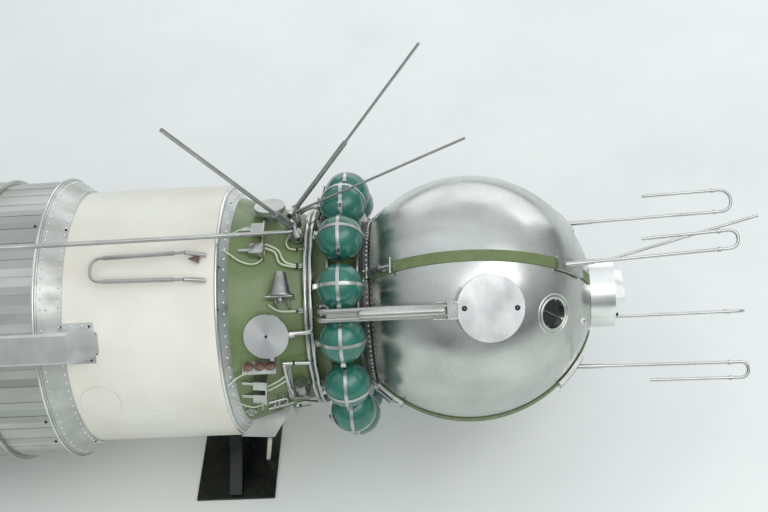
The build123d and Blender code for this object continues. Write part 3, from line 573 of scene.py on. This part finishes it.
show("cone_plates", joined("cone_plates", sheets), sheet_metal)

# Discs on stems
# Rounds of aluminium. The lower one was turned on a lathe and is held by one screw. The upper one is plain sheet.
DISC_X, DISC_AROUND, DISC_R = 82, 31.2, 210
# Turned aluminium: fine marks 0.7 mm apart around the disc's own middle, which spread the light into a fan.
turned_metal, tree, shader, place = blank("turned_aluminium")
disc_axis = tuple(outward(DISC_AROUND))
disc_middle = tuple(at(DISC_X, DISC_AROUND, DISC_R))
offset = add(tree, "ShaderNodeVectorMath", {0: place, 1: disc_middle}, operation="SUBTRACT")
crossed = add(tree, "ShaderNodeVectorMath", {0: offset.outputs[0], 1: disc_axis}, operation="CROSS_PRODUCT")
reach = add(tree, "ShaderNodeVectorMath", {0: crossed.outputs[0]}, operation="LENGTH")
rings = add(tree, "ShaderNodeTexNoise", {"W": reach.outputs["Value"], "Scale": 1400, "Detail": 3},
            noise_dimensions="1D")
tangent = add(tree, "ShaderNodeVectorMath", {0: crossed.outputs[0]}, operation="NORMALIZE")
tree.links.new(tangent.outputs[0], shader.inputs["Tangent"])
shader.inputs["Anisotropic"].default_value = 0.85
shader.inputs["Base Color"].default_value = linear("eceeec")
shader.inputs["Metallic"].default_value = 1
shader.inputs["Roughness"].default_value = 0.27
marks = add(tree, "ShaderNodeBump", {"Height": rings.outputs[0], "Strength": 0.35, "Distance": 0.0002})
tree.links.new(marks.outputs[0], shader.inputs["Normal"])
finish(turned_metal, "turned_disc")
finish(sheet_metal, "upper_disc")

# Knob panel
# A machined shelf with three domed caps, moulded and glossy. One black screw holds its rear corner.
SHELF_X, SHELF_AROUND, SHELF_R, CAP_PITCH = 65, 16.5, 207.98, 19.7
finish(cast_metal, "knob_panel")
shelf_up, shelf_back = outward(SHELF_AROUND + 68), outward(SHELF_AROUND + 158)
shelf = at(SHELF_X, SHELF_AROUND, SHELF_R)
caps = [(shelf + AHEAD * CAP_PITCH / 1000 * i - shelf_back * 0.003 + shelf_up * 0.0003, shelf_up) for i in (-1, 0, 1)]
heads_at("knob_caps", caps, (9.5, 4), brown_resin)
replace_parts(bpy.data.objects["knob_caps"], "panel_knobs")
heads_at("shelf_screw", [(shelf - AHEAD * 0.026 + shelf_back * 0.011, shelf_up)], (2, 0.9), black_steel_and_shade)

# Whip aerials, their bosses and hinge bushes
# Steel rods that turn on pins between the ears of machined bosses. A bush lies beside each outer ear, on the hinge's
# line and clear of the rods, with an open end; a black disc sunk in that end paints the shade of its bore.
EYE_RISE = 26     # of the pin above the cone, in millimetres
EAR_OUT = 0.0118  # metres from the boss's middle to the outer ear's face
finish(whip_metal, "aft_whip", "long_whip", "sleeved_whip", "thin_whip")
finish(cast_metal, "whip_bosses")
bushes, bore_shades = [], []
for x, a, heading, lengths in ((131, 88, 200, ((1, 17), (-1, 9))), (125, 103, -15, ((-1, 6), (1, 6)))):
    pivot = on_skin(x, a, EYE_RISE)
    turn = math.radians(heading)
    way = outward(a + 90) * math.cos(turn) - AHEAD * math.sin(turn)
    for sign, length in lengths:
        start = pivot + way * sign * EAR_OUT
        end = start + way * sign * length / 1000
        bushes.append(frustum(start, end, 7.2, 6.6, 28))
        # Black disc in the bush's end: painted shade of the bore.
        bore_shades.append(frustum(end - way * sign * 0.001, end + way * sign * 0.0001, 3, sides=24))
show("hinge_bushes", joined("hinge_bushes", bushes), tube_metal)
show("bush_bore_shade", joined("bush_bore_shade", bore_shades), black_steel_and_shade)

# Gas bottles with their straps and cradles
# Spun balls under enamel, each under two crossed straps. A strap is pulled tight by a clamp of two lugs and a screw:
# one at the bottle's rear end and one low on its cross strap.
MAST_AROUND = 40.6  # the mast lies over the gap between two bottles
BOTTLES, BOTTLES_X, BOTTLES_R = 14, 215, 207
STRAP_R = 0.0445    # metres from a bottle's middle to its clamps
# Teal enamel: deep and glossy, with small sharp highlights.
teal_paint = paint("teal_enamel", "1f6b5c", "19594d", 0.22, 0.6, 0.02)
finish(teal_paint, "gas_bottles")
finish(cast_metal, "bottle_straps", "bottle_cradles")
lugs, bolts = [], []
for i in range(BOTTLES):
    a = MAST_AROUND + (i + 0.5) * 360 / BOTTLES
    middle, out, across = at(BOTTLES_X, a, BOTTLES_R), outward(a), outward(a + 90)
    for flat, angles in ((-AHEAD, (68, 82)), (-across, (58, 70))):
        heads = []
        for angle in angles:
            turn = math.radians(angle)
            away = out * math.cos(turn) + flat * math.sin(turn)
            along = flat * math.cos(turn) - out * math.sin(turn)
            heads.append(middle + away * STRAP_R)
            lugs.append(slab(heads[-1], along, away, (2.4, 8, 6)))
        bolts.append(frustum(heads[0], heads[1], 1.3, sides=10))
show("strap_lugs", joined("strap_lugs", lugs), cast_metal)
show("strap_bolts", joined("strap_bolts", bolts), black_steel_and_shade)

# Seat ring
# A steel ring on the neck, on which the sphere sits. It is held by a crown of small bolts; behind it a black wire
# paints the shade in the gap.
# Dull steel drawn dark grey, darker than the other steels as painted shade of the neck, so the bolts stand out as pale
# dots.
ring_steel_in_shade = metal("ring_steel_painted_dark", "6e706e", "585a58", 0.36, 0.03)
finish(ring_steel_in_shade, "seat_ring")
hoop("seat_gap_shade", 247.6, 151.6, 4.6, black_steel_and_shade)
ring_of_heads("seat_ring_bolts", 96, 255.5, 153.4, 0, (2.3, 1.8), cast_metal)

# Descent sphere
# A spun aluminium shell, polished by hand. A small white fitting sits near its nose; a black plug in its middle paints
# the shade of its hole.
SPHERE_X = 433


def on_ball(forward, around, radius):
    """Point around the sphere's middle, some degrees ahead of its side."""
    turn = math.radians(forward)
    return at(SPHERE_X, 0, 0) + (AHEAD * math.sin(turn) + outward(around) * math.cos(turn)) * radius / 1000


# Spun aluminium: cloudy, polished unevenly in broad patches, with specks, shallow dents and fine marks around the
# long axis. The marks are drawn 0.9 mm apart, coarser than the real ones, which no render would show.
sphere_metal, tree, shader, place = blank("spun_aluminium")
clouds = add(tree, "ShaderNodeMapRange", {"Value": patchy(tree, place, 0.11, 4, (1.6, 1, 1)), "From Min": 0.38,
                                          "From Max": 0.68})
cloudy = add(tree, "ShaderNodeMix", {SHARE: clouds.outputs["Result"], FIRST: linear("d0d2cf"),
                                     SECOND: linear("b6b8b5")}, data_type="RGBA")
specks = add(tree, "ShaderNodeMapRange", {"Value": patchy(tree, place, 0.004, 2), "From Min": 0.62, "From Max": 0.75,
                                          "To Max": 0.5})
specked = add(tree, "ShaderNodeMix", {SHARE: specks.outputs["Result"], FIRST: cloudy.outputs[MIXED],
                                      SECOND: linear("a3a5a1")}, data_type="RGBA")
polish = add(tree, "ShaderNodeMapRange", {"Value": patchy(tree, place, 0.06, 5, (1, 1, 2.5)), **MIDDLE, "To Min": 0.2,
                                          "To Max": 0.36})
tree.links.new(specked.outputs[MIXED], shader.inputs["Base Color"])
tree.links.new(polish.outputs["Result"], shader.inputs["Roughness"])
shader.inputs["Metallic"].default_value = 1
marks = patchy(tree, place, 0.0009, 2, (1, 14, 14))
dents = patchy(tree, place, 0.09, 2)
fine = add(tree, "ShaderNodeBump", {"Height": marks, "Strength": 0.05, "Distance": 0.0002})
wavy = add(tree, "ShaderNodeBump", {"Height": dents, "Strength": 0.12, "Distance": 0.004,
                                    "Normal": fine.outputs[0]})
tree.links.new(wavy.outputs[0], shader.inputs["Normal"])
finish(sphere_metal, "descent_sphere")
capped = [on_ball(60.4, 19.4, radius) for radius in (229, 234, 234.3)]
show("white_fitting", joined("white_fitting", [frustum(capped[0], capped[1], 6.5, 5.5)]), white_paint)
# Black plug in the fitting: painted shade of its hole.
show("fitting_hole_shade", joined("fitting_hole_shade", [frustum(capped[0], capped[2], 2.6)]), black_steel_and_shade)

# Tension bands with buckles, plates and turnbuckles
# Painted steel straps over the sphere, a quarter turn apart. Behind each is a turnbuckle with a barrel, thin rods and
# cross pins with round ends.
# Strap paint: matt olive green, hardly a highlight.
green_paint = paint("green_strap_paint", "66764b", "5a6943", 0.5, 0.0, 0.02)
finish(green_paint, "tension_bands")
finish(cast_metal, "band_buckles", "band_plates")
buckles = []
for a in (63.5, 153.5, 243.5, 333.5):
    across = outward(a + 90)
    barrel = on_ball(-45, a, 243), on_ball(-38, a, 243)
    buckles.append(frustum(*barrel, 4.2))
    buckles.append(frustum(on_ball(-51, a, 236), barrel[0], 2, sides=12))
    buckles.append(frustum(barrel[1], on_ball(-33.5, a, 238), 2, sides=12))
    for shift in (-5.5, 5.5):
        buckles.append(frustum(on_ball(-50, a, 238) + across * shift / 1000,
                               on_ball(-33.5, a, 238) + across * shift / 1000, 1.3, sides=10))
    for forward, radius, reach in ((-33.5, 238.5, 12.5), (-46.5, 242, 9), (-50.5, 236.5, 9)):
        pin = on_ball(forward, a, radius)
        buckles.append(frustum(pin - across * reach / 1000, pin + across * reach / 1000, 2, sides=14))
        for end in (-reach, reach):
            buckles.append(frustum(pin + across * (end - 1.5) / 1000, pin + across * (end + 1.5) / 1000, 3.2))
show("turnbuckles", joined("turnbuckles", buckles), cast_metal)

# Umbilical mast
# Two satin steel tubes from a bracket on the neck to a foot on the sphere, with a round-ended cover between them.
# Ahead of the foot is a thin flange with a bright lip. Cap screws hold bracket and foot.
COVER_R, COVER_HEIGHT = 7.6, 246.5
LIP_LOW, LIP_HIGH, LIP_SIDE = 242.6, 248.2, 3.3


def ball(centre, radius, sides=28):
    """Corners and faces of a ball, radius in millimetres."""
    rings = sides // 2
    points = [centre + Vector((0, 0, radius / 1000)), centre - Vector((0, 0, radius / 1000))]
    for i in range(1, rings):
        down = math.pi * i / rings
        for k in range(sides):
            a = 2 * math.pi * k / sides
            points.append(centre + Vector((math.sin(down) * math.cos(a), math.sin(down) * math.sin(a),
                                           math.cos(down))) * radius / 1000)
    faces = []
    last = 2 + (rings - 2) * sides
    for k in range(sides):
        after = (k + 1) % sides
        faces.append((0, 2 + k, 2 + after))
        faces.append((1, last + after, last + k))
        for start in range(2, last, sides):
            faces.append((start + k, start + sides + k, start + sides + after, start + after))
    return points, faces


finish(whip_metal, "umbilical_mast")
finish(cast_metal, "mast_bracket", "mast_foot")
ends = [at(x, MAST_AROUND, COVER_HEIGHT) for x in (254, 390.5)]
cover = [frustum(*ends, COVER_R, sides=28), ball(ends[0], COVER_R), ball(ends[1], COVER_R)]
show("mast_cover", joined("mast_cover", cover), tube_metal)
flange = slab(at(387, MAST_AROUND, 240.8), AHEAD, outward(MAST_AROUND), (26, 28, 2.4))
show("mast_flange", joined("mast_flange", [flange]), whip_metal)
lip = [at(x, MAST_AROUND + side * LIP_SIDE, r) for side, x, r in (
    (1, 382, LIP_LOW), (1, 395, LIP_LOW), (1, 399, LIP_HIGH), (1, 412, LIP_HIGH), (1, 415.5, LIP_HIGH),
    (0.8, 415.8, LIP_HIGH), (-0.8, 415.8, LIP_HIGH), (-1, 415.5, LIP_HIGH), (-1, 412, LIP_HIGH), (-1, 399, LIP_HIGH),
    (-1, 395, LIP_LOW), (-1, 375, LIP_LOW))]
pipes("mast_lip", [lip], 2.2, bright_metal)
mast_screws = [(at(x, a, radius), outward(a)) for radius, places in (
    (177, ((177, 44.6), (177, 36.6))),
    (150, ((167, 45), (172, 42.5), (166, 39.6), (164, 36.9))),
    (248.2, ((404, 44), (411, 44), (404, 37.2), (411, 37.2)))) for x, a in places]
heads_at("mast_screws", mast_screws, (2.2, 1.5), cast_metal)

# Hatch plate
# A round of polished aluminium with two raised black screws, each with a bright middle, and a strip around its rear.
# The countersunk screws belong to the plate and to the turned disc.
HATCH_FORWARD, HATCH_AROUND = 9.6, 40.5
HATCH_SCREWS = (-0.0456, 0.0452)  # metres from the plate's middle
HATCH_TOP, STRIP_LEVEL, STRIP_R = 0.234, 0.2233, 0.0612
SLANT = math.radians(2.6)         # of the line through the screws
finish(bright_metal, "hatch_plate")
ball_middle = at(SPHERE_X, 0, 0)
hatch_out = (on_ball(HATCH_FORWARD, HATCH_AROUND, 1) - ball_middle).normalized()
rise = outward(HATCH_AROUND + 90)
behind = hatch_out.cross(rise)
strip = []
for angle in range(-38, 39, 4):
    turn = math.radians(angle)
    edge = behind * math.cos(turn) + rise * math.sin(turn)
    strip.append(ball_middle + hatch_out * STRIP_LEVEL + edge * STRIP_R)
pipes("hatch_strip", (strip,), 2.6, cast_metal)
sideways = behind * math.cos(SLANT) + rise * math.sin(SLANT)
hatch_spots = [(ball_middle + hatch_out * HATCH_TOP + sideways * reach, hatch_out) for reach in HATCH_SCREWS]
heads_at("hatch_screws", hatch_spots, (4.9, 1.3), black_steel_and_shade)
heads_at("hatch_screw_middles", hatch_spots, (1.7, 1.7), spun_steel)
dark = [(on_ball(forward, a, 234.3), (on_ball(forward, a, 1) - ball_middle).normalized())
        for forward, a in ((-1.2, 41), (20.3, MAST_AROUND))]
dark.append((on_skin(DISC_X, DISC_AROUND, 20.1), outward(DISC_AROUND)))
heads_at("dark_screws", dark, (2.6, 0.7), black_steel_and_shade)

# Porthole
# Two rings of polished aluminium around a short sleeve, with a dark pane at its bottom. Four tabs hold the pane, and
# a thin sighting bar runs across it. Lengths here are in metres from the sphere's middle.
PORT_FORWARD, PORT_AROUND = 40, 34
PORT_STEPS = 90
PANE_BACK, PANE_FRONT, TABS_LEVEL = 0.2198, 0.2214, 0.2235
BEADS = ((0.0346, 0.2276), (0.0285, 0.2284))
SLEEVE = ((0.0269, 0.2195), (0.0269, 0.2284), (0.0259, 0.2284), (0.0259, 0.2195))
# Dark glass: black with one clear reflection, as the cabin behind it is unlit.
port_glass, _, shader, _ = blank("dark_port_glass")
shader.inputs["Base Color"].default_value = linear("121313")
shader.inputs["Roughness"].default_value = 0.1
look = (on_ball(PORT_FORWARD, PORT_AROUND, 1) - ball_middle).normalized()
rise = outward(PORT_AROUND + 90)
level = rise.cross(look)
around_port = [rise * math.cos(math.radians(i * 4)) + level * math.sin(math.radians(i * 4))
               for i in range(PORT_STEPS + 1)]
beads = pipes("porthole_beads", [[ball_middle + look * depth + way * radius for way in around_port]
                                 for radius, depth in BEADS], 2.5, bright_metal)
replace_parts(beads, "porthole_rim")
ring = [ball_middle + look * depth + way * radius for radius, depth in SLEEVE for way in around_port[:PORT_STEPS]]
walls = []
for side in range(4):
    low, high = side * PORT_STEPS, (side + 1) % 4 * PORT_STEPS
    for i in range(PORT_STEPS):
        after = (i + 1) % PORT_STEPS
        walls.append((high + i, high + after, low + after, low + i))
show("porthole_sleeve", joined("porthole_sleeve", [(ring, walls)]), bright_metal)
pane = frustum(ball_middle + look * PANE_BACK, ball_middle + look * PANE_FRONT, 25.8, sides=48)
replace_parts(show("port_pane", joined("port_pane", [pane]), port_glass), "porthole_glass")
tabs, ends = [], []
foot = ball_middle + look * TABS_LEVEL
for angle in (22, 119, 210, 297):
    turn = math.radians(angle)
    inward = -(rise * math.cos(turn) + level * math.sin(turn))
    ends.append(foot - look * 0.0008 - inward * 0.025)
    tabs.append(slab(foot - inward * 0.0255, inward, look, (5, 3.4, 2.6)))
show("porthole_tabs", joined("porthole_tabs", tabs), cast_metal)
show("sighting_bar", joined("sighting_bar", [frustum(ends[1], ends[3], 0.5, sides=10)]), tube_metal)

# Nose: drum, box, rod and hooked aerials
# Polished machined parts on the sphere's front, with bent steel tubes in sockets. A black screw is in the drum.
finish(bright_metal, "nose_drum", "nose_box")
finish(tube_metal, "hook_aerials", "nose_rod")
show("nose_screw", joined("nose_screw", [frustum(at(690, -2, 57), at(704, -2, 57), 3.2)]), black_steel_and_shade)

# Floor and light
# A pale painted floor, a row of windows on the far side, a ceiling panel and a soft light from the camera's side.
FLOOR_HALF = 20  # metres
# Floor paint: pale and smooth, with wide faint clouds.
floor_paint, tree, shader, place = blank("pale_floor_paint")
clouds = add(tree, "ShaderNodeMapRange", {"Value": patchy(tree, place, 0.5, 4), **MIDDLE})
cloudy = add(tree, "ShaderNodeMix", {SHARE: clouds.outputs["Result"], FIRST: linear("dfe2df"),
                                     SECOND: linear("d9dcda")}, data_type="RGBA")
tree.links.new(cloudy.outputs[MIXED], shader.inputs["Base Color"])
shader.inputs["Roughness"].default_value = 0.45
floor_mesh = bpy.data.meshes.new("floor")
floor_mesh.from_pydata([(x * FLOOR_HALF, y * FLOOR_HALF, 0) for x, y in ((-1, -1), (1, -1), (1, 1), (-1, 1))], [],
                       [(0, 1, 2, 3)])
floor_mesh.materials.append(floor_paint)
floor = bpy.data.objects.new("floor", floor_mesh)
bpy.context.scene.collection.objects.link(floor)
# The light from all round is brightest above and fades towards the horizon.
world = bpy.data.worlds.new("hall")
bpy.context.scene.world = world
world.use_nodes = True
tree = world.node_tree
height = add(tree, "ShaderNodeSeparateXYZ", {"Vector": add(tree, "ShaderNodeTexCoord").outputs["Generated"]})
glow = add(tree, "ShaderNodeMapRange", {"Value": height.outputs["Z"], "To Min": 0.18, "To Max": 1.06})
tree.links.new(glow.outputs["Result"], tree.nodes["Background"].inputs["Strength"])
tree.nodes["Background"].inputs["Color"].default_value = (0.94, 0.98, 1, 1)


def lamp(name, place, target, size, power, colour=(1, 1, 1)):
    """Rectangular lamp aimed at a point."""
    data = bpy.data.lights.new(name, "AREA")
    data.shape = "RECTANGLE"
    data.size, data.size_y = size
    data.energy = power
    data.color = colour
    light = bpy.data.objects.new(name, data)
    bpy.context.scene.collection.objects.link(light)
    light.location = place
    light.rotation_euler = (Vector(target) - Vector(place)).to_track_quat("-Z", "Y").to_euler()
    return light


lamp("far_windows", (0.8, 3.6, 1.7), (0.1, 0, 0.3), (6, 2.4), 48, (0.97, 0.99, 1))
lamp("ceiling_panel", (1.9, -1.7, 3.4), (0.7, -0.3, 0), (3.6, 2), 38)
lamp("near_fill", (0.3, -2.5, 2), (0.3, -0.9, 0), (4.5, 1.4), 33).visible_glossy = False
bpy.context.scene.view_settings.view_transform = "Standard"
